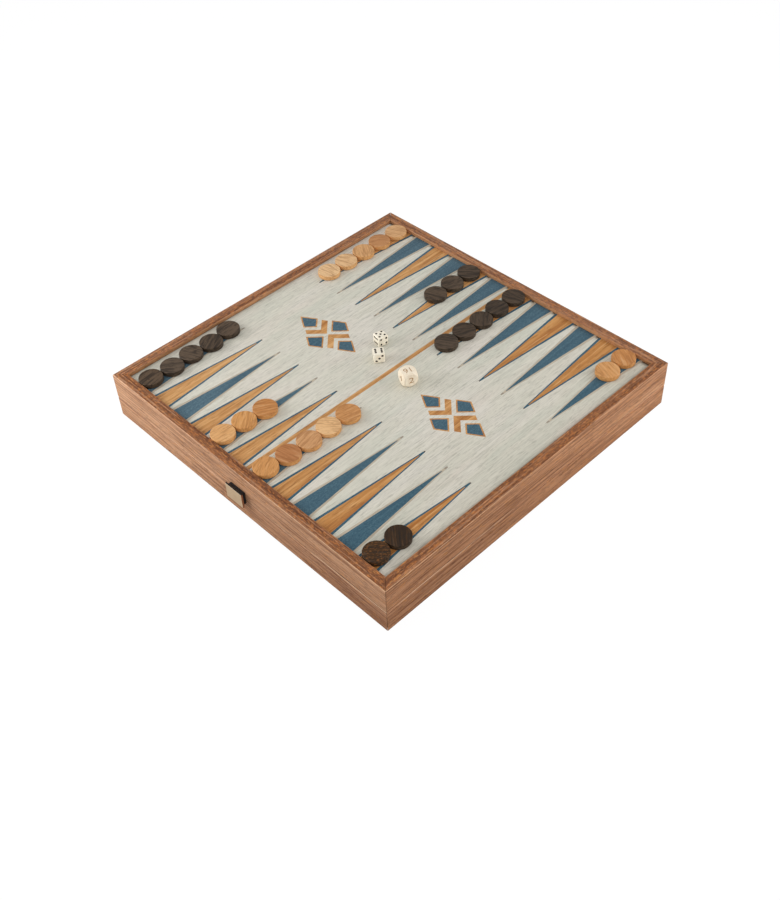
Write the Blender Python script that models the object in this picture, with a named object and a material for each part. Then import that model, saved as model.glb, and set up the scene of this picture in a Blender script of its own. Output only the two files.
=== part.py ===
"""Backgammon set: a hinged square case whose lid is the playing board, with the pieces on their starting points.

Metres, +Z up. The pull tab is on the -Y side, the hinges are on the +Y side and the case stands on z = 0.
"""

import math

import bmesh
import bpy

MM = 0.001

# Every two pieces that touch on the real set are this far apart.
GAP = 0.3 * MM

# Case
CASE_SIDE = 410 * MM
CASE_HEIGHT = 57 * MM
WALL = 12 * MM
BASE_TOP = 25.3 * MM
LID_BOTTOM = BASE_TOP + GAP
OUTER_CHAMFER = 0.6 * MM
INNER_CHAMFER = 0.4 * MM
HALF_SIDE = CASE_SIDE / 2
INNER_HALF = HALF_SIDE - WALL

# Board panel, let into a groove in the lid rails
BOARD_TOP = CASE_HEIGHT - 4.6 * MM
BOARD_THICKNESS = 4 * MM
GROOVE_DEPTH = 3 * MM

# Bottom panel, let into a rebate from below so that the underside is flush
PANEL_THICKNESS = 4 * MM
REBATE_DEPTH = 6 * MM

# Storage dividers, standing on the bottom panel
DIVIDER_THICKNESS = 5 * MM
DIVIDER_TOP = 21.5 * MM
LONG_DIVIDER_Y = -70 * MM
SHORT_DIVIDER_X = 65 * MM

# Disc magnets, let into the front rails on each side of the parting line
MAGNET_RADIUS = 4 * MM
MAGNET_THICKNESS = 3 * MM
MAGNET_X = 110 * MM
MAGNET_SEGMENTS = 20

# Pull tab: a plate that a short neck holds clear of the front rails
TAB_WIDTH = 24.4 * MM
TAB_BOTTOM = 20.1 * MM
TAB_TOP = 38.3 * MM
TAB_THICKNESS = 2.1 * MM
TAB_REACH = 6.1 * MM
TAB_CORNER = 0.25 * MM
NECK_WIDTH = 19 * MM
NECK_BOTTOM = 28.5 * MM
NECK_TOP = 35.5 * MM

# The two screws that hold the tab from inside the lid
SCREW_X = 5.5 * MM
SCREW_Z = (NECK_BOTTOM + NECK_TOP) / 2
SCREW_RADIUS = 1.5 * MM
SCREW_HEAD_RADIUS = 3.4 * MM
SCREW_HEAD_DOME = 1.1 * MM
SCREW_HEAD_RIM = 0.9 * MM
SCREW_BORE_RADIUS = SCREW_RADIUS + GAP
SCREW_BITE = 2.6 * MM
SCREW_SEGMENTS = 20

# Butt hinges on the outside of the back rails
HINGE_X = 120 * MM
HINGE_WIDTH = 40 * MM
HINGE_LEAF_THICKNESS = 1.2 * MM
HINGE_LEAF_HEIGHT = 13.5 * MM
HINGE_BARREL_RADIUS = 2.75 * MM
HINGE_AXIS_Y = HALF_SIDE + TAB_REACH - HINGE_BARREL_RADIUS
HINGE_AXIS_Z = (BASE_TOP + LID_BOTTOM) / 2
HINGE_PIN_RADIUS = 1.2 * MM
HINGE_PIN_HEAD_RADIUS = 2.1 * MM
HINGE_PIN_HEAD = 0.9 * MM
HINGE_BORE_RADIUS = HINGE_PIN_RADIUS + GAP
HINGE_MIDDLE_KNUCKLE = 13.2 * MM
HINGE_SEGMENTS = 20

# Checkers
CHECKER_RADIUS = 12.9 * MM
CHECKER_THICKNESS = 5.5 * MM
CHECKER_EDGE = 0.7 * MM
CHECKER_SEGMENTS = 30
PIECE_FLOOR = BOARD_TOP + GAP

# The twelve points of each side: the first lies this far from the centre of the board
POINT_PITCH = 30 * MM
FIRST_POINT_X = 18.15 * MM
POINTS_PER_HALF = 6
BOARD_CENTRE_X = 0.4 * MM

# Each stack: colour, point from the left, side, pitch in mm, and how far each checker lies off its point in mm
STACKS = (
    ("light", 0, 1, 26.8, (-2.5, -3.0, -2.5, -3.5, -3.5)),
    ("light", 11, 1, 27.1, (-1.5, -1.5)),
    ("light", 4, -1, 26.3, (-3.0, -2.0, -0.5)),
    ("light", 6, -1, 26.3, (-3.5, -0.5, 0.0, -0.5, 0.0)),
    ("dark", 4, 1, 27.4, (-4.0, -4.0, -4.0)),
    ("dark", 6, 1, 26.8, (-3.0, -3.5, -2.5, -3.0, -4.0)),
    ("dark", 0, -1, 26.5, (-3.5, -2.0, -4.0, -3.0, -7.0)),
    ("dark", 11, -1, 26.8, (-1.0, 0.0)),
)

# Dice and doubling cube: side, edge radius, centre x and y, turn about +Z
DIE_SIDE = 12 * MM
DIE_EDGE = 1.7 * MM
CUBE_SIDE = 16.4 * MM
CUBE_EDGE = 3.6 * MM
CUBES = (
    ("die_five", DIE_SIDE, DIE_EDGE, -39.5 * MM, 27.4 * MM, -11),
    ("die_six", DIE_SIDE, DIE_EDGE, -21.5 * MM, 7.0 * MM, 54),
    ("doubling_cube", CUBE_SIDE, CUBE_EDGE, 26.2 * MM, 3.0 * MM, 70),
)
CUBE_EDGE_STEPS = 3


def clear_scene():
    for obj in list(bpy.data.objects):
        bpy.data.objects.remove(obj, do_unlink=True)


def object_from(name, mesh_builder):
    """A new object from a bmesh, with its faces turned outward."""
    bmesh.ops.recalc_face_normals(mesh_builder, faces=mesh_builder.faces)
    mesh = bpy.data.meshes.new(name)
    mesh_builder.to_mesh(mesh)
    mesh_builder.free()
    obj = bpy.data.objects.new(name, mesh)
    bpy.context.scene.collection.objects.link(obj)
    return obj


def loft(name, rings):
    """A closed body through rings of points, each with as many points as the next."""
    build = bmesh.new()
    loops = [[build.verts.new(point) for point in ring] for ring in rings]
    count = len(loops[0])
    for lower, upper in zip(loops, loops[1:]):
        for i in range(count):
            j = (i + 1) % count
            build.faces.new((lower[i], lower[j], upper[j], upper[i]))
    build.faces.new(list(reversed(loops[0])))
    build.faces.new(loops[-1])
    return object_from(name, build)


def box(name, low, high):
    corners = ((low[0], low[1]), (high[0], low[1]), (high[0], high[1]), (low[0], high[1]))
    return loft(name, [[(x, y, z) for x, y in corners] for z in (low[2], high[2])])


def turned(name, profile, segments, centre, axis):
    """A body of revolution: profile holds (radius, height) pairs, and axis is the direction of height."""
    rings = []
    for radius, height in profile:
        ring = []
        for step in range(segments):
            angle = 2 * math.pi * step / segments
            across = radius * math.cos(angle)
            along = radius * math.sin(angle)
            offset = {
                "X": (height, across, along),
                "Y": (along, height, across),
                "Z": (across, along, height),
            }[axis]
            ring.append([centre[k] + offset[k] for k in range(3)])
        rings.append(ring)
    return loft(name, rings)


def apply_boolean(obj, other, operation):
    """Joins or cuts another body into obj, and removes the other body."""
    modifier = obj.modifiers.new(operation, "BOOLEAN")
    modifier.operation = operation
    modifier.solver = "EXACT"
    modifier.object = other
    graph = bpy.context.evaluated_depsgraph_get()
    result = bpy.data.meshes.new_from_object(obj.evaluated_get(graph))
    obj.modifiers.remove(modifier)
    obj.data = result
    bpy.data.objects.remove(other, do_unlink=True)


def turned_about_z(point, quarter):
    x, y, z = point
    for _ in range(quarter):
        x, y = -y, x
    return (x, y, z)


def mitred_rail(name, profile, quarter):
    """A rail with 45-degree ends, swept from a profile of (distance in from the outer face, height) pairs.

    Quarter 0 is the front rail, and each further quarter is a turn of 90 degrees anticlockwise from above.
    """
    mitre_gap = GAP / math.sqrt(2)
    rings = []
    for end in (-1, 1):
        ring = []
        for inset, height in profile:
            half_length = HALF_SIDE - inset - mitre_gap
            point = (end * half_length, inset - HALF_SIDE, height)
            ring.append(turned_about_z(point, quarter))
        rings.append(ring)
    return loft(name, rings)


def build_lid():
    groove_top = BOARD_TOP + GAP
    groove_bottom = BOARD_TOP - BOARD_THICKNESS - GAP
    groove_back = WALL - GROOVE_DEPTH
    profile = (
        (OUTER_CHAMFER, LID_BOTTOM),
        (WALL, LID_BOTTOM),
        (WALL, groove_bottom),
        (groove_back, groove_bottom),
        (groove_back, groove_top),
        (WALL, groove_top),
        (WALL, CASE_HEIGHT - INNER_CHAMFER),
        (WALL - INNER_CHAMFER, CASE_HEIGHT),
        (OUTER_CHAMFER, CASE_HEIGHT),
        (0, CASE_HEIGHT - OUTER_CHAMFER),
        (0, LID_BOTTOM + OUTER_CHAMFER),
    )
    rails = {}
    for quarter, side in enumerate(("front", "right", "back", "left")):
        rails[side] = mitred_rail(f"lid_rail_{side}", profile, quarter)
    half = INNER_HALF + GROOVE_DEPTH - GAP
    box("play_board", (-half, -half, BOARD_TOP - BOARD_THICKNESS), (half, half, BOARD_TOP))
    return rails


def build_base():
    rebate_top = PANEL_THICKNESS + GAP
    rebate_back = WALL - REBATE_DEPTH
    profile = (
        (OUTER_CHAMFER, 0),
        (rebate_back, 0),
        (rebate_back, rebate_top),
        (WALL, rebate_top),
        (WALL, BASE_TOP),
        (OUTER_CHAMFER, BASE_TOP),
        (0, BASE_TOP - OUTER_CHAMFER),
        (0, OUTER_CHAMFER),
    )
    rails = {}
    for quarter, side in enumerate(("front", "right", "back", "left")):
        rails[side] = mitred_rail(f"base_rail_{side}", profile, quarter)
    half = INNER_HALF + REBATE_DEPTH - GAP
    box("bottom_panel", (-half, -half, 0), (half, half, PANEL_THICKNESS))
    return rails


def build_dividers():
    floor = PANEL_THICKNESS + GAP
    reach = INNER_HALF - GAP
    half = DIVIDER_THICKNESS / 2
    box(
        "divider_long",
        (-reach, LONG_DIVIDER_Y - half, floor),
        (reach, LONG_DIVIDER_Y + half, DIVIDER_TOP),
    )
    back = LONG_DIVIDER_Y - half - GAP
    for side, x in (("left", -SHORT_DIVIDER_X), ("right", SHORT_DIVIDER_X)):
        box(f"divider_{side}", (x - half, -reach, floor), (x + half, back, DIVIDER_TOP))


def build_magnets(lid_front, base_front):
    """Two pairs of disc magnets, flush with the faces that meet when the lid is shut."""
    y = -HALF_SIDE + WALL / 2
    pocket_radius = MAGNET_RADIUS + GAP
    pocket_depth = MAGNET_THICKNESS + GAP
    for side, x in (("left", -MAGNET_X), ("right", MAGNET_X)):
        for half, rail, face, inward in (
            ("lid", lid_front, LID_BOTTOM, 1),
            ("base", base_front, BASE_TOP, -1),
        ):
            cut = ((pocket_radius, -inward * WALL), (pocket_radius, inward * pocket_depth))
            cutter = turned("pocket", cut, MAGNET_SEGMENTS, (x, y, face), "Z")
            apply_boolean(rail, cutter, "DIFFERENCE")
            disc = ((MAGNET_RADIUS, 0), (MAGNET_RADIUS, inward * MAGNET_THICKNESS))
            turned(f"magnet_{half}_{side}", disc, MAGNET_SEGMENTS, (x, y, face), "Z")


def build_tab(lid_front):
    front = -HALF_SIDE - TAB_REACH
    back = front + TAB_THICKNESS
    half = TAB_WIDTH / 2
    outline = ((-half, TAB_BOTTOM), (half, TAB_BOTTOM), (half, TAB_TOP), (-half, TAB_TOP))
    middle_z = (TAB_BOTTOM + TAB_TOP) / 2
    shrink_x = 1 - TAB_CORNER / half
    shrink_z = 1 - 2 * TAB_CORNER / (TAB_TOP - TAB_BOTTOM)
    rings = []
    for y, bevelled in (
        (front, True),
        (front + TAB_CORNER, False),
        (back - TAB_CORNER, False),
        (back, True),
    ):
        scale_x = shrink_x if bevelled else 1
        scale_z = shrink_z if bevelled else 1
        rings.append([(x * scale_x, y, middle_z + (z - middle_z) * scale_z) for x, z in outline])
    tab = loft("pull_tab", rings)
    overlap = TAB_THICKNESS / 2
    neck = box(
        "neck",
        (-NECK_WIDTH / 2, back - overlap, NECK_BOTTOM),
        (NECK_WIDTH / 2, -HALF_SIDE - GAP, NECK_TOP),
    )
    apply_boolean(tab, neck, "UNION")
    inner_face = -HALF_SIDE + WALL
    tip = -HALF_SIDE - SCREW_BITE
    for side, x in (("left", -SCREW_X), ("right", SCREW_X)):
        seat = (x, 0, SCREW_Z)
        cut = ((SCREW_BORE_RADIUS, tip - GAP), (SCREW_BORE_RADIUS, inner_face + WALL))
        blind = turned("blind_hole", cut, SCREW_SEGMENTS, seat, "Y")
        apply_boolean(tab, blind, "DIFFERENCE")
        through = turned("through_hole", cut, SCREW_SEGMENTS, seat, "Y")
        apply_boolean(lid_front, through, "DIFFERENCE")
        head = inner_face + GAP
        profile = (
            (SCREW_RADIUS, tip),
            (SCREW_RADIUS, head),
            (SCREW_HEAD_RADIUS, head),
            (SCREW_HEAD_RADIUS, head + SCREW_HEAD_RIM),
            (SCREW_HEAD_RADIUS * 0.75, head + SCREW_HEAD_RIM + SCREW_HEAD_DOME * 0.7),
            (SCREW_HEAD_RADIUS * 0.3, head + SCREW_HEAD_RIM + SCREW_HEAD_DOME),
        )
        turned(f"tab_screw_{side}", profile, SCREW_SEGMENTS, seat, "Y")


def hinge_leaf(name, centre_x, upward, knuckles):
    """A leaf on the back face; upward is 1 for the lid's leaf, and knuckles holds (start, end) along X."""
    inner_y = HALF_SIDE + GAP
    outer_y = inner_y + HINGE_LEAF_THICKNESS
    near = HINGE_AXIS_Z + upward * (HINGE_BARREL_RADIUS + GAP)
    far = HINGE_AXIS_Z + upward * HINGE_LEAF_HEIGHT
    half = HINGE_WIDTH / 2
    leaf = box(
        name,
        (centre_x - half, inner_y, min(near, far)),
        (centre_x + half, outer_y, max(near, far)),
    )
    overlap = near + upward * HINGE_LEAF_THICKNESS
    for start, end in knuckles:
        tongue = box(
            "tongue",
            (centre_x + start, inner_y, min(HINGE_AXIS_Z, overlap)),
            (centre_x + end, outer_y, max(HINGE_AXIS_Z, overlap)),
        )
        apply_boolean(leaf, tongue, "UNION")
        axis = (centre_x, HINGE_AXIS_Y, HINGE_AXIS_Z)
        wall = ((HINGE_BARREL_RADIUS, start), (HINGE_BARREL_RADIUS, end))
        barrel = turned("knuckle", wall, HINGE_SEGMENTS, axis, "X")
        apply_boolean(leaf, barrel, "UNION")
        beyond = HINGE_LEAF_THICKNESS
        hollow = ((HINGE_BORE_RADIUS, start - beyond), (HINGE_BORE_RADIUS, end + beyond))
        bore = turned("bore", hollow, HINGE_SEGMENTS, axis, "X")
        apply_boolean(leaf, bore, "DIFFERENCE")


def build_hinges():
    half = HINGE_WIDTH / 2
    middle = HINGE_MIDDLE_KNUCKLE / 2
    for side, x in (("left", -HINGE_X), ("right", HINGE_X)):
        hinge_leaf(f"hinge_leaf_lid_{side}", x, 1, ((-middle, middle),))
        outer = ((-half, -middle - GAP), (middle + GAP, half))
        hinge_leaf(f"hinge_leaf_base_{side}", x, -1, outer)
        end = half + GAP
        profile = (
            (HINGE_PIN_HEAD_RADIUS, -end - HINGE_PIN_HEAD),
            (HINGE_PIN_HEAD_RADIUS, -end),
            (HINGE_PIN_RADIUS, -end),
            (HINGE_PIN_RADIUS, end),
            (HINGE_PIN_HEAD_RADIUS, end),
            (HINGE_PIN_HEAD_RADIUS, end + HINGE_PIN_HEAD),
        )
        axis = (x, HINGE_AXIS_Y, HINGE_AXIS_Z)
        turned(f"hinge_pin_{side}", profile, HINGE_SEGMENTS, axis, "X")


def point_x(index):
    """Centre line of a point, counted from the left end of either side."""
    if index < POINTS_PER_HALF:
        steps = POINTS_PER_HALF - 1 - index
        return BOARD_CENTRE_X - FIRST_POINT_X - steps * POINT_PITCH
    return BOARD_CENTRE_X + FIRST_POINT_X + (index - POINTS_PER_HALF) * POINT_PITCH


def build_checkers():
    profile = (
        (CHECKER_RADIUS - CHECKER_EDGE, 0),
        (CHECKER_RADIUS, CHECKER_EDGE),
        (CHECKER_RADIUS, CHECKER_THICKNESS - CHECKER_EDGE),
        (CHECKER_RADIUS - CHECKER_EDGE, CHECKER_THICKNESS),
    )
    numbers = {"light": 0, "dark": 0}
    first_y = INNER_HALF - GAP - CHECKER_RADIUS
    for colour, point, side, pitch, offsets in STACKS:
        for place, offset in enumerate(offsets):
            numbers[colour] += 1
            x = point_x(point) + offset * MM
            y = side * (first_y - place * pitch * MM)
            name = f"checker_{colour}_{numbers[colour]:02d}"
            turned(name, profile, CHECKER_SEGMENTS, (x, y, PIECE_FLOOR), "Z")


def rounded_cube(name, side, edge, x, y, turn):
    build = bmesh.new()
    bmesh.ops.create_cube(build, size=side)
    bmesh.ops.bevel(
        build,
        geom=build.edges,
        offset=edge,
        segments=CUBE_EDGE_STEPS,
        profile=0.5,
        affect="EDGES",
    )
    angle = math.radians(turn)
    for vert in build.verts:
        across, along, up = vert.co
        vert.co.x = x + across * math.cos(angle) - along * math.sin(angle)
        vert.co.y = y + across * math.sin(angle) + along * math.cos(angle)
        vert.co.z = PIECE_FLOOR + side / 2 + up
    object_from(name, build)


def main():
    clear_scene()
    lid = build_lid()
    base = build_base()
    build_dividers()
    build_magnets(lid["front"], base["front"])
    build_tab(lid["front"])
    build_hinges()
    build_checkers()
    for cube in CUBES:
        rounded_cube(*cube)


main()
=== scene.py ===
"""Looks for the backgammon set.

It is a walnut box whose lid carries the inlaid board, with its checkers, dice and doubling cube.
"""

import math
import random

import bmesh
import bpy
from mathutils import Matrix, Vector, geometry


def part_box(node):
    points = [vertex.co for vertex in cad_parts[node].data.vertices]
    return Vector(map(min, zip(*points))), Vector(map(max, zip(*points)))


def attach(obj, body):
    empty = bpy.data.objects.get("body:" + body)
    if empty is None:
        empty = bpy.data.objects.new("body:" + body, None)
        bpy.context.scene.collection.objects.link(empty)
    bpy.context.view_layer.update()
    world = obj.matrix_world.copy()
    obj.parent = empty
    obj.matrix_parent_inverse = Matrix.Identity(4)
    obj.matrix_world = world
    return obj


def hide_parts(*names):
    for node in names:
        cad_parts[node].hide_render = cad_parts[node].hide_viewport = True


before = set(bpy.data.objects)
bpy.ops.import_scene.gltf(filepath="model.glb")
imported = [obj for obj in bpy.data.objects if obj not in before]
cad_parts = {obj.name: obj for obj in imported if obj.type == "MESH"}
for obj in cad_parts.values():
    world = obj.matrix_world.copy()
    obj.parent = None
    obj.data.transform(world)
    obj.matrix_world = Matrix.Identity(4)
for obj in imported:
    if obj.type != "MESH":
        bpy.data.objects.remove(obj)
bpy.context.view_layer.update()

MM = 0.001
TINY = 1e-6
MERGE = 1e-7

# -------- sizes read from the frame

RAIL_LOW, RAIL_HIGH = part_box("lid_rail_front")
BOARD_LOW, BOARD_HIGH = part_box("play_board")
RIM_Z = RAIL_HIGH.z
PARTING_Z = RAIL_LOW.z
OUTER = -RAIL_LOW.y
WALL = RAIL_HIGH.y - RAIL_LOW.y
INNER = OUTER - WALL

# -------- the board's pattern, in metres

BOARD_MIDDLE_X = 0.4 * MM
POINT_TIP_MIDDLE_Y = -1.5 * MM
POINT_TIP_REACH = 55.3 * MM
FIRST_POINT_X = 18.15 * MM
POINT_PITCH = 30 * MM
POINTS_PER_SIDE = 6
POINT_OUTER_WIDTH = 26.6 * MM
POINT_INNER_WIDTH = 21.0 * MM
POINT_TIP_WIDTH = 1.6 * MM
INNER_TIP_BACK = 8.0 * MM
INNER_TIP_WIDTH = 0.7 * MM
OAK_POINT_END = 1.6 * MM
BLUE_POINT_END = 4.0 * MM
POINT_INTO_GROOVE = 1.4 * MM
BAR_WIDTH = 5.0 * MM

ORNAMENT_X = FIRST_POINT_X + 2.5 * POINT_PITCH
ORNAMENT_Y = -1.9 * MM
ORNAMENT_HALF = (44.8 * MM, 27.7 * MM)
KITE_OUTLINE = 1.5 * MM
CHEVRON_END = 0.94
CHEVRON_APEX = 1.1 * MM
CHEVRON_WIDTH = 9.5 * MM
SIDE_KITE_APEX = 17.0 * MM
TOP_KITE_APEX = 5.5 * MM
TONE_SEED = 7
# the points' tone at the board's left end, and its rise to the right
NEAR_TONES = (0.1, 0.95)
FAR_BLUE_TONES = (0.1, 0.75)
FAR_OAK_TONES = (0.45, 0.35)


def srgb(red, green, blue):
    """A linear colour from the 0-255 values that a picture shows."""

    def linear(value):
        value /= 255
        return value / 12.92 if value <= 0.04045 else ((value + 0.055) / 1.055) ** 2.4

    return (linear(red), linear(green), linear(blue), 1.0)


# -------- a short way to write node trees


class Graph:
    """One material's node tree. Each call adds a node and returns its output socket."""

    def __init__(self, name, roughness, **constants):
        self.material = bpy.data.materials.new(name)
        self.material.use_nodes = True
        self.tree = self.material.node_tree
        self.shader = self.tree.nodes["Principled BSDF"]
        self.fill(self.shader, Roughness=roughness, **constants)
        coordinates = self.tree.nodes.new("ShaderNodeTexCoord")
        self.position = coordinates.outputs["Object"]
        self.normal = coordinates.outputs["Normal"]

    def set(self, socket, value):
        if isinstance(value, bpy.types.NodeSocket):
            self.tree.links.new(value, socket)
        else:
            socket.default_value = value

    def fill(self, node, **values):
        """Gives each named input of the node its link or constant."""
        for key, value in values.items():
            self.set(node.inputs[key.replace("_", " ")], value)

    def maths(self, operation, *values):
        node = self.tree.nodes.new("ShaderNodeMath")
        node.operation = operation
        for socket, value in zip(node.inputs, values):
            self.set(socket, value)
        return node.outputs[0]

    def times(self, product, *others):
        for other in others:
            product = self.maths("MULTIPLY", product, other)
        return product

    def split(self, vector):
        node = self.tree.nodes.new("ShaderNodeSeparateXYZ")
        self.set(node.inputs[0], vector)
        return node.outputs

    def join(self, x, y, z):
        node = self.tree.nodes.new("ShaderNodeCombineXYZ")
        for socket, value in zip(node.inputs, (x, y, z)):
            self.set(socket, value)
        return node.outputs[0]

    def step(self, value, low, high):
        """0 where value is at most low, 1 from high on, and smooth between."""
        node = self.tree.nodes.new("ShaderNodeMapRange")
        node.interpolation_type = "SMOOTHSTEP"
        for socket, number in zip(node.inputs[:3], (value, low, high)):
            self.set(socket, number)
        return node.outputs[0]

    def stretch(self, vector, scale, shift):
        node = self.tree.nodes.new("ShaderNodeMapping")
        self.fill(node, Vector=vector, Location=shift, Scale=scale)
        return node.outputs[0]

    def noise(self, vector, scale, detail=2, rough=0.5, bend=0.0, shift=(0, 0, 0)):
        node = self.tree.nodes.new("ShaderNodeTexNoise")
        axes = self.stretch(vector, scale, shift)
        self.fill(node, Vector=axes, Scale=1.0, Detail=detail, Roughness=rough, Distortion=bend)
        return node.outputs["Fac"]

    def mix(self, factor, a, b, blend="MIX"):
        node = self.tree.nodes.new("ShaderNodeMix")
        node.data_type = "RGBA"
        node.blend_type = blend
        self.set(node.inputs[0], factor)
        self.set(node.inputs[6], a)
        self.set(node.inputs[7], b)
        return node.outputs[2]

    def ramp(self, value, *stops):
        node = self.tree.nodes.new("ShaderNodeValToRGB")
        self.set(node.inputs[0], value)
        elements = node.color_ramp.elements
        while len(elements) < len(stops):
            elements.new(0.5)
        for element, (place, colour) in zip(elements, stops):
            element.position = place
            element.color = colour
        return node.outputs[0]

    def spread(self, value, dark, middle, light):
        """Three colours laid over the range that a noise mostly keeps to."""
        return self.ramp(value, (0.32, dark), (0.50, middle), (0.68, light))

    def tint(self, colour, mask, share, target, blend="MIX"):
        """The colour drawn towards target by share, where mask is 1."""
        return self.mix(self.times(mask, share), colour, target, blend)

    def layered(self, colour, *layers):
        """The colour under one tint after another: (value, low, high, share, target) of each."""
        for value, low, high, share, target in layers:
            colour = self.tint(colour, self.step(value, low, high), share, target)
        return colour

    def wander(self, axes, reach, scale):
        """The coordinates with the grain drifting sideways by up to reach, in long slow bends."""
        along, across, height = self.split(axes)
        drift = self.maths("MULTIPLY_ADD", self.noise(axes, scale, detail=1), 2 * reach, -reach)
        return self.join(along, self.maths("ADD", across, drift), self.maths("ADD", height, drift))

    def attribute(self, name):
        node = self.tree.nodes.new("ShaderNodeAttribute")
        node.attribute_name = name
        return node.outputs["Fac"]

    def bump(self, height, depth, strength):
        node = self.tree.nodes.new("ShaderNodeBump")
        self.fill(node, Strength=strength, Distance=depth, Height=height)
        self.fill(self.shader, Normal=node.outputs[0])

    def finish(self, colour, roughness=None):
        self.fill(self.shader, Base_Color=colour)
        if roughness is not None:
            self.fill(self.shader, Roughness=roughness)
        return self.material


def grain_axes(graph, along):
    """The object's coordinates turned so that the grain runs along the first one."""
    x, y, z = graph.split(graph.position)
    if along == "Y":
        return graph.join(y, x, z)
    if along == "Z":
        return graph.join(z, x, y)
    return graph.join(x, y, z)


# -------- materials

# painted shadow on the field beside the rails
PAINTED_RAIL_SHADOW = srgb(96, 76, 54)
FRONT_VENEER = (srgb(191, 144, 110), srgb(198, 151, 116), srgb(205, 159, 124))
SIDE_VENEER = (srgb(192, 135, 95), srgb(204, 147, 107), srgb(213, 158, 117))
# painted shade on the veneer, darker towards the near corner and on the base
PAINTED_SHADE_VENEER = srgb(140, 92, 64)
SOLID_WALNUT = (srgb(111, 69, 44), srgb(144, 98, 69), srgb(164, 115, 84))
# painted shade on the near rails' solid wood
NEAR_RAIL_SHADE = srgb(239, 221, 190)
# painted light on the inner walls above the board
PAINTED_WALL_LIGHT = srgb(192, 140, 97)
# painted highlight along the line above the parting
PARTING_HIGHLIGHT = srgb(255, 226, 190)
# painted highlight along the top chamfer
CHAMFER_HIGHLIGHT = srgb(250, 212, 170)
GRAIN_SLOPE = 0.012
GRAIN_DRIFT = 1.6 * MM
VENEER_FROM = INNER + 0.6 * WALL
SOLID_TO = INNER + 0.55 * WALL
RIM_SHADE_FROM = INNER + 4.6 * MM
RIM_SHADE_TO = INNER + 3.4 * MM
WALL_FROM = INNER + 0.6 * MM
WALL_TO = INNER + 0.2 * MM
CHAMFER_FROM = RIM_Z - 0.65 * MM
CHAMFER_TO = RIM_Z - 0.4 * MM
PARTING_LINE_Z = PARTING_Z + 0.6 * MM
PARTING_LINE_OUT = 1.0 * MM
PARTING_LINE_FULL = 0.7 * MM
PARTING_BLEND = 0.1 * MM
NEAR_BLEND = 1 * MM
FAR_EDGE_FROM = INNER - 5.0 * MM
RIGHT_SIDE_FROM = 60 * MM
GAP_FROM = INNER - 1.3 * MM
GAP_TO = INNER - 0.5 * MM
LEFT_GAP_LESS = 0.7 * MM


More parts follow.
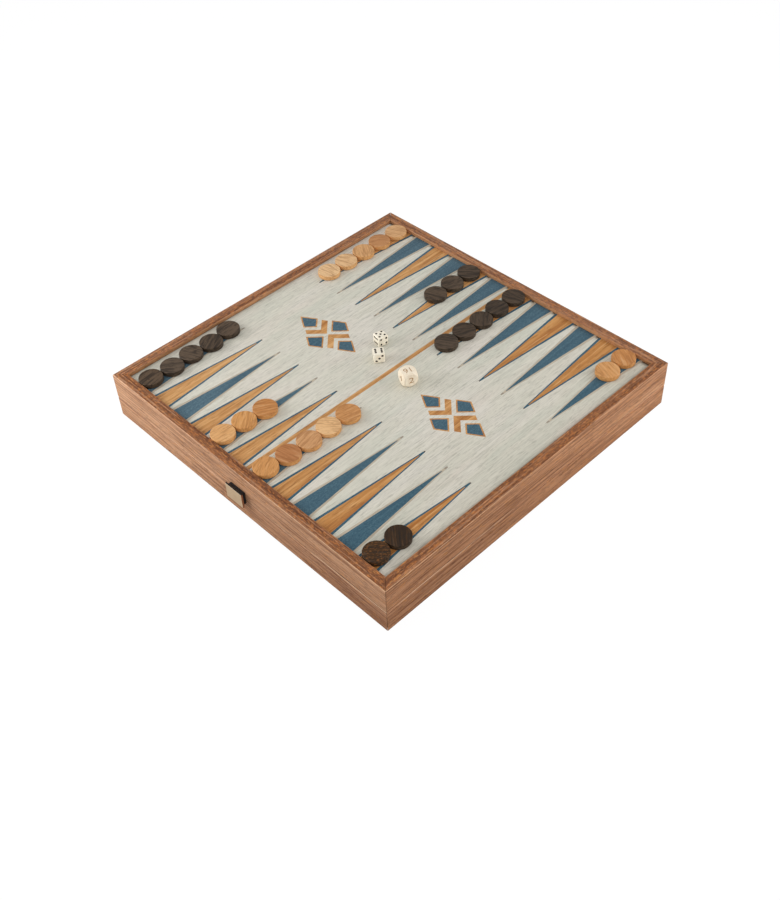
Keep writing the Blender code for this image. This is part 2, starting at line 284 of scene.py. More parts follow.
def walnut(name, along, veneer_colours, shade_from, shade_to, lid_shade, base_shade, inner_shade):
    """Straight-grained walnut: pinkish veneer outside, redder solid wood on the rim and inside.

    Painted shade darkens the veneer along the rail between two given places, by one share on the lid
    and by another on the base, and a near rail's rim beside the board by a third share. The near rails'
    solid wood has painted shade, the inner walls painted light, and the top chamfer and a line above
    the parting painted highlights.
    """
    graph = Graph(name, roughness=0.55, Specular_IOR_Level=0.25)
    x, y, z = graph.split(graph.position)
    from_middle = graph.maths("ABSOLUTE", x if along == "Y" else y)
    levelness = graph.maths("ABSOLUTE", graph.split(graph.normal)[2])
    inside = graph.step(from_middle, VENEER_FROM, SOLID_TO)
    is_solid = graph.maths("MAXIMUM", graph.step(levelness, 0.8, 0.95), inside)
    is_veneer = graph.maths("SUBTRACT", 1.0, is_solid)

    run, across, height = graph.split(grain_axes(graph, along))
    sloped = graph.join(run, across, graph.maths("MULTIPLY_ADD", run, GRAIN_SLOPE, height))
    axes = graph.wander(sloped, GRAIN_DRIFT, (4, 9, 9))
    broad = graph.noise(axes, (2.5, 40, 40))
    bands = graph.noise(axes, (4, 240, 240), detail=1)
    lines = graph.noise(axes, (8, 560, 560), detail=1, shift=(5, 1, 2))
    hairs = graph.noise(axes, (18, 900, 900), detail=1, shift=(1, 6, 4))
    fibres = graph.noise(axes, (60, 1900, 1900), rough=0.7)
    pores = graph.noise(axes, (130, 900, 900), shift=(0, 4, 6))
    flecks = graph.noise(axes, (130, 700, 700), shift=(3, 5, 7))
    specks = graph.noise(axes, (240, 620, 620), shift=(6, 2, 9))

    # painted shade: the veneer darker towards the near corner, and more on the base than on the lid
    below = graph.step(z, PARTING_Z + PARTING_BLEND, PARTING_Z - PARTING_BLEND)
    depth = graph.maths("MULTIPLY_ADD", below, base_shade - lid_shade, lid_shade)
    nearness = graph.step(run, shade_from, shade_to)
    veneer = graph.spread(bands, *veneer_colours)
    veneer = graph.tint(veneer, graph.times(nearness, depth), 1.0, PAINTED_SHADE_VENEER)

    # painted shade: the near rails' solid wood darker, and darker still on their rim beside the board
    towards = y if along == "X" else graph.times(x, -1.0)
    near_rail = graph.step(towards, NEAR_BLEND, -NEAR_BLEND)
    near_board = graph.step(from_middle, RIM_SHADE_FROM, RIM_SHADE_TO)
    solid = graph.spread(bands, *SOLID_WALNUT)
    solid = graph.tint(solid, near_rail, 1.0, NEAR_RAIL_SHADE, "MULTIPLY")
    solid = graph.tint(solid, near_board, graph.times(near_rail, inner_shade), SOLID_WALNUT[0])
    solid = graph.layered(
        solid,
        (specks, 0.53, 0.62, 0.48, srgb(206, 126, 62)),
        (specks, 0.45, 0.37, 0.50, srgb(92, 54, 32)),
    )
    # painted light: the inner walls above the board drawn lighter
    on_wall = graph.times(graph.step(from_middle, WALL_FROM, WALL_TO), graph.step(z, PARTING_Z, RIM_Z))
    solid = graph.tint(solid, on_wall, 0.8, PAINTED_WALL_LIGHT)

    colour = graph.mix(is_solid, veneer, solid)
    colour = graph.tint(colour, graph.step(broad, 0.35, 0.70), 0.11, srgb(200, 180, 164), "MULTIPLY")
    line_share = graph.maths("MULTIPLY_ADD", is_veneer, 0.36, 0.16)
    colour = graph.layered(
        colour,
        (lines, 0.55, 0.60, line_share, srgb(120, 74, 50)),
        (lines, 0.43, 0.37, 0.26, srgb(230, 180, 142)),
        (hairs, 0.55, 0.61, line_share, srgb(108, 64, 42)),
        (fibres, 0.50, 0.72, 0.34, srgb(112, 70, 46)),
        (fibres, 0.46, 0.30, 0.28, srgb(226, 178, 140)),
        (pores, 0.58, 0.66, 0.48, srgb(82, 48, 30)),
        (flecks, 0.60, 0.68, 0.50, srgb(210, 142, 76)),
    )

    # painted highlight along the top chamfer, stronger towards the near corner
    on_chamfer = graph.times(graph.step(z, CHAMFER_FROM, CHAMFER_TO), is_veneer)
    chamfer_share = graph.maths("MULTIPLY_ADD", nearness, 0.24, 0.05)
    colour = graph.tint(colour, on_chamfer, chamfer_share, CHAMFER_HIGHLIGHT)
    # painted highlight: a patchy light line just above the parting line, stronger towards the near
    # corner
    from_line = graph.maths("ABSOLUTE", graph.maths("SUBTRACT", z, PARTING_LINE_Z))
    patchy = graph.step(graph.noise(axes, (18, 9, 9)), 0.38, 0.52)
    upright = graph.step(levelness, 0.6, 0.3)
    on_line = graph.step(from_line, PARTING_LINE_OUT, PARTING_LINE_FULL)
    on_line = graph.times(on_line, patchy, upright, is_veneer)
    colour = graph.tint(colour, on_line, graph.times(nearness, 0.62), PARTING_HIGHLIGHT)

    raised = graph.times(fibres, 0.6)
    graph.bump(graph.maths("SUBTRACT", raised, graph.step(pores, 0.58, 0.68)), 0.07 * MM, 0.6)
    return graph.finish(colour, graph.maths("MULTIPLY_ADD", lines, 0.15, 0.48))


def bleached_veneer():
    """The board's field: bleached, faintly streaked wood, with painted shadow where it meets the rails
    and painted shade towards the right.
    """
    graph = Graph("board_bleached", roughness=0.6, Specular_IOR_Level=0.2)
    x, y, _ = graph.split(graph.position)
    axes = graph.wander(grain_axes(graph, "Y"), 1.5 * MM, (6, 12, 12))
    cloud = graph.noise(axes, (9, 30, 30), detail=3)
    tint = graph.noise(axes, (12, 45, 45), shift=(8, 3, 1))
    streaks = graph.noise(axes, (14, 560, 560))
    hairs = graph.noise(axes, (40, 900, 900), detail=1, shift=(4, 4, 1))
    fibres = graph.noise(axes, (100, 1050, 1050), rough=0.7)
    pores = graph.noise(axes, (100, 900, 900), shift=(1, 7, 2))
    colour = graph.spread(cloud, srgb(207, 206, 192), srgb(214, 210, 196), srgb(219, 214, 203))
    colour = graph.layered(
        colour,
        (tint, 0.50, 0.75, 0.30, srgb(220, 206, 196)),
        (tint, 0.45, 0.25, 0.30, srgb(198, 204, 190)),
        (streaks, 0.52, 0.66, 0.16, srgb(168, 170, 158)),
        (streaks, 0.46, 0.32, 0.20, srgb(238, 234, 222)),
        (hairs, 0.56, 0.64, 0.22, srgb(160, 158, 146)),
        (fibres, 0.52, 0.66, 0.30, srgb(162, 160, 148)),
        (pores, 0.58, 0.66, 0.34, srgb(146, 144, 132)),
    )
    # painted shadow of the right and back rails on the field
    far_rail_shadow = graph.step(graph.maths("MAXIMUM", x, y), FAR_EDGE_FROM, INNER)
    colour = graph.tint(colour, far_rail_shadow, 0.85, PAINTED_RAIL_SHADOW, "MULTIPLY")
    # painted shade: the field darker towards the right
    right_shade = graph.step(x, RIGHT_SIDE_FROM, INNER)
    colour = graph.tint(colour, right_shade, 0.22, srgb(225, 220, 214), "MULTIPLY")
    # painted shadow: a dark line along the rails, narrower at the left rail
    to_left = graph.maths("SUBTRACT", graph.times(x, -1.0), LEFT_GAP_LESS)
    to_side = graph.maths("MAXIMUM", x, to_left)
    from_middle = graph.maths("MAXIMUM", to_side, graph.maths("ABSOLUTE", y))
    gap_shadow = graph.step(from_middle, GAP_FROM, GAP_TO)
    colour = graph.tint(colour, gap_shadow, 0.85, PAINTED_RAIL_SHADOW)
    graph.bump(graph.times(fibres, -1.0), 0.06 * MM, 0.5)
    return graph.finish(colour)


def blue_veneer():
    """Blue-dyed veneer with a fine speckle. Each inlay has its own tone, stored on its faces."""
    graph = Graph("board_blue", roughness=0.6, Specular_IOR_Level=0.2)
    axes = grain_axes(graph, "Y")
    speckle = graph.noise(axes, (450, 900, 900), detail=3, rough=0.7)
    streaks = graph.noise(axes, (14, 380, 380), detail=3)
    pale = graph.spread(speckle, srgb(68, 90, 103), srgb(83, 107, 120), srgb(102, 126, 136))
    deep = graph.spread(speckle, srgb(44, 76, 92), srgb(56, 91, 108), srgb(74, 109, 122))
    colour = graph.layered(
        graph.mix(graph.attribute("tone"), pale, deep),
        (streaks, 0.50, 0.68, 0.40, srgb(54, 80, 96)),
        (streaks, 0.45, 0.32, 0.30, srgb(92, 122, 136)),
    )
    graph.bump(speckle, 0.03 * MM, 0.4)
    return graph.finish(colour)


def taupe_veneer():
    """The pale stringing round each blue point, and the dark end of every point."""
    graph = Graph("board_taupe", roughness=0.6, Specular_IOR_Level=0.2)
    axes = grain_axes(graph, "Y")
    streaks = graph.noise(axes, (40, 900, 900), detail=3)
    pale = graph.ramp(streaks, (0.35, srgb(172, 160, 142)), (0.65, srgb(196, 184, 164)))
    dark = graph.ramp(streaks, (0.35, srgb(74, 66, 64)), (0.65, srgb(104, 94, 88)))
    graph.bump(streaks, 0.03 * MM, 0.3)
    return graph.finish(graph.mix(graph.attribute("tone"), pale, dark))


def oak_veneer():
    """Golden oak inlay. Each inlay has its own tone, stored on its faces."""
    graph = Graph("board_oak", roughness=0.55, Specular_IOR_Level=0.22)
    tone = graph.attribute("tone")
    along, across, height = graph.split(grain_axes(graph, "Y"))
    moved = graph.join(along, across, graph.maths("MULTIPLY_ADD", tone, 0.7, height))
    axes = graph.wander(moved, 2.0 * MM, (8, 14, 14))
    bands = graph.noise(axes, (7, 190, 190), detail=3, bend=0.4)
    streaks = graph.noise(axes, (22, 480, 480), detail=3, rough=0.6)
    dashes = graph.noise(axes, (60, 620, 620), shift=(2, 2, 5))
    pores = graph.noise(axes, (80, 1000, 1000))
    pale = graph.spread(bands, srgb(194, 143, 88), srgb(212, 164, 109), srgb(226, 182, 128))
    deep = graph.spread(bands, srgb(163, 99, 43), srgb(184, 123, 61), srgb(203, 144, 80))
    colour = graph.layered(
        graph.mix(tone, pale, deep),
        (streaks, 0.55, 0.66, 0.60, srgb(148, 94, 48)),
        (streaks, 0.43, 0.32, 0.50, srgb(230, 186, 130)),
        (dashes, 0.60, 0.68, 0.50, srgb(126, 78, 40)),
        (pores, 0.58, 0.70, 0.40, srgb(122, 76, 42)),
    )
    graph.bump(graph.times(pores, -1.0), 0.06 * MM, 0.5)
    return graph.finish(colour)


def plain_veneer(name, light, dark, along):
    """A quiet wood for the faces inside the box."""
    graph = Graph(name, roughness=0.6, Specular_IOR_Level=0.25)
    axes = graph.wander(grain_axes(graph, along), 4 * MM, (4, 9, 9))
    bands = graph.noise(axes, (4, 130, 130), detail=3, bend=0.4)
    streaks = graph.noise(axes, (16, 800, 800), detail=3, rough=0.6)
    pores = graph.noise(axes, (110, 1300, 1300))
    colour = graph.ramp(bands, (0.30, dark), (0.70, light))
    colour = graph.tint(colour, graph.step(streaks, 0.50, 0.70), 0.45, dark, "MULTIPLY")
    colour = graph.tint(colour, graph.step(pores, 0.58, 0.70), 0.50, dark, "MULTIPLY")
    graph.bump(streaks, 0.05 * MM, 0.5)
    return graph.finish(colour)


def checker_wood(name, corners, side_colour, line_colour, line_share, fleck=None):
    """One side's checkers. corners holds the pale cool, pale warm, deep cool and deep warm colours.

    Each checker stores its tone and warmth, which also move its grain. The grain runs along its X.
    """
    graph = Graph(name, roughness=0.5, Specular_IOR_Level=0.22)
    tone = graph.attribute("tone")
    warmth = graph.attribute("warmth")
    x, y, z = graph.split(graph.position)
    moved = graph.join(
        graph.maths("MULTIPLY_ADD", warmth, 3.1, x),
        graph.maths("MULTIPLY_ADD", tone, 1.3, y),
        graph.maths("MULTIPLY_ADD", warmth, 1.9, z),
    )
    bands = graph.noise(moved, (24, 210, 210), bend=1.6)
    streaks = graph.noise(moved, (45, 640, 640), detail=3, rough=0.6, bend=0.4)
    fibres = graph.noise(moved, (130, 1500, 1500), rough=0.7)
    pores = graph.noise(moved, (200, 1000, 1000))
    pale_cool, pale_warm, deep_cool, deep_warm = corners
    pale = graph.mix(warmth, pale_cool, pale_warm)
    colour = graph.mix(tone, pale, graph.mix(warmth, deep_cool, deep_warm))
    upward = graph.split(graph.normal)[2]
    light_share = 0.6 * line_share
    colour = graph.layered(
        colour,
        (upward, 0.7, 0.3, 0.6, side_colour),
        (bands, 0.50, 0.60, line_share, line_colour),
        (bands, 0.44, 0.34, light_share, pale_cool),
        (streaks, 0.54, 0.66, line_share, line_colour),
        (streaks, 0.42, 0.32, light_share, pale_cool),
        (fibres, 0.52, 0.68, 0.8 * line_share, line_colour),
        (pores, 0.60, 0.70, 1.2 * line_share, line_colour),
    )
    if fleck:
        specks = graph.noise(moved, (320, 900, 900), detail=3, shift=(2, 9, 4))
        warmest = graph.step(warmth, 0.92, 0.97)
        mask = graph.times(graph.step(specks, 0.55, 0.64), warmest)
        colour = graph.tint(colour, mask, 0.75, fleck)
    graph.bump(graph.times(fibres, -1.0), 0.06 * MM, 0.6)
    return graph.finish(colour)


def ivory(name, low, high):
    graph = Graph(name, roughness=0.35, Specular_IOR_Level=0.4)
    cloud = graph.noise(graph.position, (300, 300, 300), detail=3)
    fine = graph.noise(graph.position, (2400, 2400, 2400), detail=1)
    graph.bump(fine, 0.02 * MM, 0.3)
    return graph.finish(graph.ramp(cloud, (0.3, low), (0.7, high)))


def maple():
    """Pale maple of the doubling cube, grain along its own Z."""
    graph = Graph("cube_maple", roughness=0.5, Specular_IOR_Level=0.3)
    axes = grain_axes(graph, "Z")
    bands = graph.noise(axes, (30, 420, 420), detail=3, bend=0.6)
    streaks = graph.noise(axes, (90, 1900, 1900))
    colour = graph.ramp(bands, (0.3, srgb(240, 224, 200)), (0.7, srgb(250, 238, 217)))
    colour = graph.tint(colour, graph.step(streaks, 0.52, 0.7), 0.3, srgb(196, 166, 128))
    graph.bump(streaks, 0.03 * MM, 0.4)
    return graph.finish(colour)


def paint(name, low, high, roughness):
    """The filling of a pip or an engraved number."""
    graph = Graph(name, roughness=roughness, Specular_IOR_Level=0.25)
    cloud = graph.noise(graph.position, (1500, 1500, 1500))
    graph.bump(cloud, 0.02 * MM, 0.4)
    return graph.finish(graph.ramp(cloud, (0.35, low), (0.65, high)))


def brushed_metal(name, low, high, along, roughness, metallic=1.0, top_reflection=None, side_reflection=None):
    """Metal with fine brushing. Its upward faces and its faces towards +X can carry a painted
    reflection.
    """
    graph = Graph(name, roughness=roughness, Metallic=metallic)
    axes = grain_axes(graph, along)
    brushing = graph.noise(axes, (120, 5200, 5200), detail=3, rough=0.7)
    cloud = graph.noise(graph.position, (160, 160, 160))
    colour = graph.ramp(cloud, (0.3, low), (0.7, high))
    colour = graph.tint(colour, brushing, 0.25, low, "MULTIPLY")
    rough = graph.maths("MULTIPLY_ADD", brushing, 0.25, roughness - 0.12)
    normal = graph.split(graph.normal)
    # painted reflections: one colour on the upward faces, another on the faces towards +X
    if top_reflection:
        up = graph.step(normal[2], 0.55, 0.8)
        colour = graph.mix(up, colour, top_reflection)
        rough = graph.maths("MULTIPLY_ADD", up, -0.2, rough)
    if side_reflection:
        colour = graph.mix(graph.step(normal[0], 0.55, 0.8), colour, side_reflection)
    graph.bump(brushing, 0.01 * MM, 0.25)
    return graph.finish(colour, rough)


def painted_shade_black():
    """Matt black for the pad behind the pull tab, which stands in for the shade in the gap there:
    painted shade.
    """
    graph = Graph("tab_pad_black", roughness=0.6, Specular_IOR_Level=0.3)
    pebble = graph.noise(graph.position, (1400, 1400, 1400), detail=3)
    graph.bump(pebble, 0.05 * MM, 0.5)
    return graph.finish(graph.ramp(pebble, (0.35, srgb(20, 19, 20)), (0.65, srgb(38, 36, 38))))


# -------- sizes of the pieces

SHARP_ANGLE = 32
BEVEL = 0.15 * MM
DIVIDER_BEVEL = 0.2 * MM
SMALL_BEVEL = 0.1 * MM
TAB_BEVEL = 0.12 * MM
BEVEL_ANGLE = 30
DIE_FIVE_YAW = -11
DIE_SIX_YAW = 54
CUBE_YAW = 70
CHECKER_EDGE = 0.55 * MM
DIE_ROUNDING = 1.15 * MM
ROUNDING_SEGMENTS = 6
PIP_SPACING = 0.27
PIP_SPHERE = 1.4 * MM
PIP_SEGMENTS = {"u_segments": 20, "v_segments": 12}
PIP_LIFT = 0.65 * MM
CUBE_BALL = 11.3 * MM
CUBE_STEPS = 27
BALL_TURN = 40
SINGLE_STRETCH = 1.3
NUMBER_HEIGHT = 10.2 * MM
ENGRAVING_DEPTH = 0.3 * MM

SCREW_RADIUS = 2.3 * MM
SCREW_HEIGHT = 0.6 * MM
SCREW_SPACING = 14 * MM
SCREW_FROM_EDGE = 4.6 * MM
LEAF_THICKNESS = 1.2 * MM
SCREW_SUNK = 0.1 * MM
SCREW_EDGE = 0.3 * MM
SCREW_SLOT = (5.52 * MM, 0.55 * MM, 0.8 * MM)
SCREW_TURN = 35

TAB_PLATE = 2.1 * MM
PAD_CLEAR = 0.25 * MM
PAD_MARGIN = 1.3 * MM
PAD_CORNER = 1.2 * MM
PAD_ARC_STEPS = 5
# place through the pad's depth, from the plate to the wall, and how far in the outline is there
PAD_LAYERS = (
    (0, 0.3 * MM), (0.1, 0), (0.4, 0), (0.46, 0.35 * MM),
    (0.54, 0.35 * MM), (0.6, 0), (0.9, 0), (1, 0.3 * MM),
)

# tone (pale to deep), warmth and grain angle of each checker, in the order of their numbers
LIGHT_LOOKS = (
    (0.35, 0.30, 20), (0.80, 0.60, 55), (0.25, 0.50, -35), (0.10, 0.10, 15), (0.00, 0.00, 10),
    (0.70, 0.95, -30), (0.40, 0.80, -20),
    (0.15, 0.65, 85), (0.30, 0.90, 130), (0.70, 1.00, 60),
    (0.40, 0.90, 120), (1.00, 0.75, 15), (0.60, 0.45, 100), (0.00, 0.25, 40), (0.55, 0.80, 75),
)
DARK_LOOKS = (
    (0.45, 0.10, 40), (0.20, 0.10, 70), (0.25, 0.15, 20),
    (0.55, 0.10, 10), (0.80, 0.00, 80), (0.65, 0.05, 130), (0.55, 0.10, 60), (0.35, 0.00, 30),
    (0.15, 0.30, 100), (0.05, 0.00, 50), (0.05, 0.05, 25), (0.45, 0.10, 120), (0.05, 0.10, 95),
    (0.92, 1.00, 45), (1.00, 0.80, 140),
)

# where the pips of each number sit, as shares of the pip spacing
PIPS = {
    1: ((0, 0),),
    2: ((-1, -1), (1, 1)),
    3: ((-1, -1), (0, 0), (1, 1)),
    4: ((-1, -1), (-1, 1), (1, -1), (1, 1)),
    5: ((-1, -1), (-1, 1), (0, 0), (1, -1), (1, 1)),
    6: ((-1, -0.8), (-1, 0), (-1, 0.8), (1, -0.8), (1, 0), (1, 0.8)),
}

# -------- pieces


def linked(name, data):
    """A new object in the scene."""
    obj = bpy.data.objects.new(name, data)
    bpy.context.scene.collection.objects.link(obj)
    return obj


def piece(name, mesh, body, materials, replaced=()):
    """Puts a mesh in the scene as a piece of the object."""
    obj = linked(name, mesh)
    for material in materials:
        mesh.materials.append(material)
    mesh.shade_smooth()
    mesh.set_sharp_from_angle(angle=math.radians(SHARP_ANGLE))
    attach(obj, body)
    if replaced:
        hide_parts(*replaced)
    return obj


def mesh_of(name, shape):
    """A mesh from a bmesh, which this frees."""
    mesh = bpy.data.meshes.new(name)
    bmesh.ops.recalc_face_normals(shape, faces=shape.faces)
    shape.to_mesh(mesh)
    shape.free()
    return mesh


def store(mesh, name, value):
    """Writes the same number on every face, for the wood materials to read."""
    mesh.attributes.new(name, "FLOAT", "FACE").data.foreach_set("value", [value] * len(mesh.polygons))


def clipped(polygon, normal, limit):
    """The part of a convex polygon where the point times normal is at most limit."""
    normal = Vector(normal)
    result = []
    for here, there in zip(polygon, polygon[1:] + polygon[:1]):
        a = here.dot(normal) - limit
        b = there.dot(normal) - limit
        if a <= 0:
            result.append(here)
        if a * b < 0:
            result.append(here.lerp(there, a / (a - b)))
    return result


def inset(polygon, distance):
    """A convex polygon, anticlockwise, with every side moved in by distance."""
    result = list(polygon)
    for here, there in zip(polygon, polygon[1:] + polygon[:1]):
        side = (there - here).normalized()
        outward = Vector((side.y, -side.x))
        result = clipped(result, outward, here.dot(outward) - distance)
    return result


def anticlockwise(polygon):
    area = sum(a.cross(b) for a, b in zip(polygon, polygon[1:] + polygon[:1]))
    return polygon if area > 0 else polygon[::-1]


def holds(polygon, point):
    """Whether a convex polygon, anticlockwise, holds the point."""
    return all((b - a).cross(point - a) > 0 for a, b in zip(polygon, polygon[1:] + polygon[:1]))


def rectangle(half_x, half_y, centre=Vector((0, 0))):
    """A rectangle's corners, anticlockwise."""
    corners = ((-half_x, -half_y), (half_x, -half_y), (half_x, half_y), (-half_x, half_y))
    return [Vector(corner) + centre for corner in corners]


def point_outlines():
    """(outline, filling, dark end, filled in blue) of each of the board's points, blunt at the tip."""
    base = INNER + POINT_INTO_GROOVE
    outlines = []
    for row in (-1, 1):
        for side in (-1, 1):
            for place in range(POINTS_PER_SIDE):
                centre = BOARD_MIDDLE_X + side * (FIRST_POINT_X + place * POINT_PITCH)
                tip = POINT_TIP_MIDDLE_Y + row * POINT_TIP_REACH
                foot = row * base

                def blunt_triangle(width, tip_width, back):
                    start = tip + row * back
                    half = tip_width / 2
                    spread = half + (width / 2 - half) * (base - abs(start)) / (INNER - abs(start))
                    corners = [(centre - spread, foot), (centre + spread, foot), (centre + half, start)]
                    corners.append((centre - half, start))
                    return anticlockwise([Vector(corner) for corner in corners])

                column = POINTS_PER_SIDE - 1 - place if side < 0 else POINTS_PER_SIDE + place
                blue = (column % 2 == 0) == (row < 0)
                outer = blunt_triangle(POINT_OUTER_WIDTH, POINT_TIP_WIDTH, 0)
                inner = blunt_triangle(POINT_INNER_WIDTH, INNER_TIP_WIDTH, INNER_TIP_BACK)
                end = clipped(outer, (0, row), abs(tip) + (BLUE_POINT_END if blue else OAK_POINT_END))
                outlines.append((outer, inner, end, blue))
    return outlines


def ornament_shapes(centre):
    """(polygon, colour) of one diamond ornament: four outlined kites and two chevrons."""
    half_x, half_y = ORNAMENT_HALF
    diamond = [Vector(corner) for corner in ((half_x, 0), (0, half_y), (-half_x, 0), (0, -half_y))]
    shapes = []
    for side in (-1, 1):
        half = clipped(diamond, (-side, 1), -SIDE_KITE_APEX)
        side_kite = clipped(half, (-side, -1), -SIDE_KITE_APEX)
        half = clipped(diamond, (1, -side), -TOP_KITE_APEX)
        top_kite = clipped(half, (-1, -side), -TOP_KITE_APEX)
        for kite in (side_kite, top_kite):
            shapes += [(kite, "oak"), (inset(kite, KITE_OUTLINE), "blue")]
        short_diamond = [corner * CHEVRON_END for corner in diamond]
        for arm in (-1, 1):
            strip = clipped(short_diamond, (-side, arm), -CHEVRON_APEX)
            strip = clipped(strip, (side, -arm), CHEVRON_APEX + CHEVRON_WIDTH)
            strip = clipped(strip, (0, -arm), 0)
            shapes.append((strip, "oak"))
    return [([corner + centre for corner in polygon], colour) for polygon, colour in shapes]


def board_shapes():
    """Every shape on the board, in the order they are laid: (polygon, colour, tone)."""
    draw = random.Random(TONE_SEED)
    shapes = [(rectangle(BOARD_HIGH.x, BOARD_HIGH.y), "bleached", 0.5)]
    bar = rectangle(BAR_WIDTH / 2, INNER + POINT_INTO_GROOVE, Vector((BOARD_MIDDLE_X, 0)))
    shapes.append((bar, "oak", 0.4))
    for outer, inner, end, blue in point_outlines():
        across = (outer[0].x + INNER) / (2 * INNER)
        start, rise = NEAR_TONES if outer[0].y < 0 else FAR_BLUE_TONES if blue else FAR_OAK_TONES
        tone = min(start + rise * across + draw.uniform(-0.08, 0.08), 1)
        shapes.append((outer, "taupe", 0.0) if blue else (outer, "blue", min(tone + 0.35, 1)))
        shapes.append((inner, "blue" if blue else "oak", tone))
        shapes.append((end, "taupe", 0.45 if blue else 1.0))
    for side in (-1, 1):
        centre = Vector((BOARD_MIDDLE_X + side * ORNAMENT_X, ORNAMENT_Y))
        for polygon, colour in ornament_shapes(centre):
            shapes.append((polygon, colour, draw.uniform(0.4, 0.8)))
    return shapes


def build_board(materials):
    """The board panel, its top face divided along the inlay."""
    shapes = board_shapes()
    points = []
    loops = []
    for polygon, _, _ in shapes:
        loops.append(list(range(len(points), len(points) + len(polygon))))
        points += polygon
    flat, _, faces, *_ = geometry.delaunay_2d_cdt(points, [], loops, 1, MERGE)
    colours = list(materials)
    shape = bmesh.new()
    top = [shape.verts.new((corner.x, corner.y, BOARD_HIGH.z)) for corner in flat]
    tone_layer = shape.faces.layers.float.new("tone")
    for face in faces:
        made = shape.faces.new([top[index] for index in face])
        centre = sum((flat[index] for index in face), Vector((0, 0))) / len(face)
        _, colour, tone = [laid for laid in shapes if holds(laid[0], centre)][-1]
        made.material_index = colours.index(colour)
        made[tone_layer] = tone
    rim = [edge for edge in shape.edges if edge.is_boundary]
    made = bmesh.ops.extrude_edge_only(shape, edges=rim)["geom"]
    for vert in [item for item in made if isinstance(item, bmesh.types.BMVert)]:
        vert.co.z = BOARD_LOW.z
    lower = [edge for edge in shape.edges if edge.is_boundary]
    bmesh.ops.contextual_create(shape, geom=lower)
    for face in shape.faces:
        if abs(face.calc_center_median().z - BOARD_HIGH.z) > TINY:
            face.material_index = colours.index("underside")
    mesh = mesh_of("play_board_inlaid", shape)
    return piece("play_board_inlaid", mesh, "lid", materials.values(), ["play_board"])


def lofted(rings):
    """A solid through rings of points, closed at both ends."""
    shape = bmesh.new()
    rings = [[shape.verts.new(point) for point in ring] for ring in rings]
    for low, high in zip(rings, rings[1:]):
        for index in range(len(low)):
            after = (index + 1) % len(low)
            shape.faces.new((low[index], low[after], high[after], high[index]))
    shape.faces.new(rings[0][::-1])
    shape.faces.new(rings[-1])
    return shape


def turned_disc(radius, height, edge, segments=96, arc_steps=5):
    """A disc standing on z = 0 with rounded edges."""
    quarter = [math.radians(90 * step / arc_steps) for step in range(arc_steps + 1)]
    profile = [(radius - 2 * edge, 0)]
    inner = radius - edge
    arc = [(edge * math.sin(angle), edge * math.cos(angle)) for angle in quarter]
    profile += [(inner + across, edge - down) for across, down in arc]
    profile += [(inner + across, height - edge + up) for up, across in arc]
    profile.append((radius - 2 * edge, height))
    turns = [2 * math.pi * step / segments for step in range(segments)]
    return lofted([[(r * math.cos(turn), r * math.sin(turn), z) for turn in turns] for r, z in profile])


def build_checkers(colour, material, looks):
    """Each checker in turned wood. looks gives a piece's tone, its warmth and its grain's angle."""
    for number, (tone, warmth, turn) in enumerate(looks, start=1):
        node = f"checker_{colour}_{number:02d}"
        low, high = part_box(node)
        shape = turned_disc((high.x - low.x) / 2, high.z - low.z, CHECKER_EDGE)
        mesh = mesh_of(f"{node}_turned", shape)
        store(mesh, "tone", tone)
        store(mesh, "warmth", warmth)
        obj = piece(mesh.name, mesh, node, [material], [node])
        centre = (low + high) / 2
        obj.location = (centre.x, centre.y, low.z)
        obj.rotation_euler.z = math.radians(turn)


def rounded_cube(side, radius):
    shape = bmesh.new()
    bmesh.ops.create_cube(shape, size=side)
    steps = {"segments": ROUNDING_SEGMENTS, "profile": 0.5, "affect": "EDGES"}
    bmesh.ops.bevel(shape, geom=shape.edges[:], offset=radius, **steps)
    return shape


def ball_cube(side, ball_radius, steps):
    """A cube with its edges and corners worn down to a ball."""
    shape = bmesh.new()
    bmesh.ops.create_cube(shape, size=side)
    bmesh.ops.subdivide_edges(shape, edges=shape.edges[:], cuts=steps, use_grid_fill=True)
    for vert in shape.verts:
        reach = vert.co.length
        vert.co *= ((reach ** -BALL_TURN + ball_radius ** -BALL_TURN) ** (-1 / BALL_TURN)) / reach
    return shape


def carved(name, body_shape, cutter_shape, materials):
    """body_shape in the first material, less cutter_shape. The cut faces take the second material."""
    body = linked(name, mesh_of(name, body_shape))
    cutter = linked(f"{name}_cutter", mesh_of(f"{name}_cutter", cutter_shape))
    for obj in (body, cutter):
        for material in materials:
            obj.data.materials.append(material)
    cutter.data.polygons.foreach_set("material_index", [1] * len(cutter.data.polygons))
    cut = body.modifiers.new("carving", "BOOLEAN")
    cut.object = cutter
    cut.operation = "DIFFERENCE"
    cut.solver = "EXACT"
    graph = bpy.context.evaluated_depsgraph_get()
    mesh = bpy.data.meshes.new_from_object(body.evaluated_get(graph))
    mesh.name = f"{name}_carved"
    for obj in (body, cutter):
        bpy.data.objects.remove(obj)
    return mesh


def face_frames():
    """For each face of a cube, a matrix whose Z looks out of the face and whose Y is up on it."""
    directions = {
        "top": ((1, 0, 0), (0, 1, 0)),
        "bottom": ((1, 0, 0), (0, -1, 0)),
        "right": ((0, 1, 0), (0, 0, 1)),
        "left": ((0, -1, 0), (0, 0, 1)),
        "back": ((-1, 0, 0), (0, 0, 1)),
        "front": ((1, 0, 0), (0, 0, 1)),
    }
    frames = {}
    for name, (across, up) in directions.items():
        across, up = Vector(across), Vector(up)
        frames[name] = Matrix((across, up, across.cross(up))).transposed().to_4x4()
    return frames


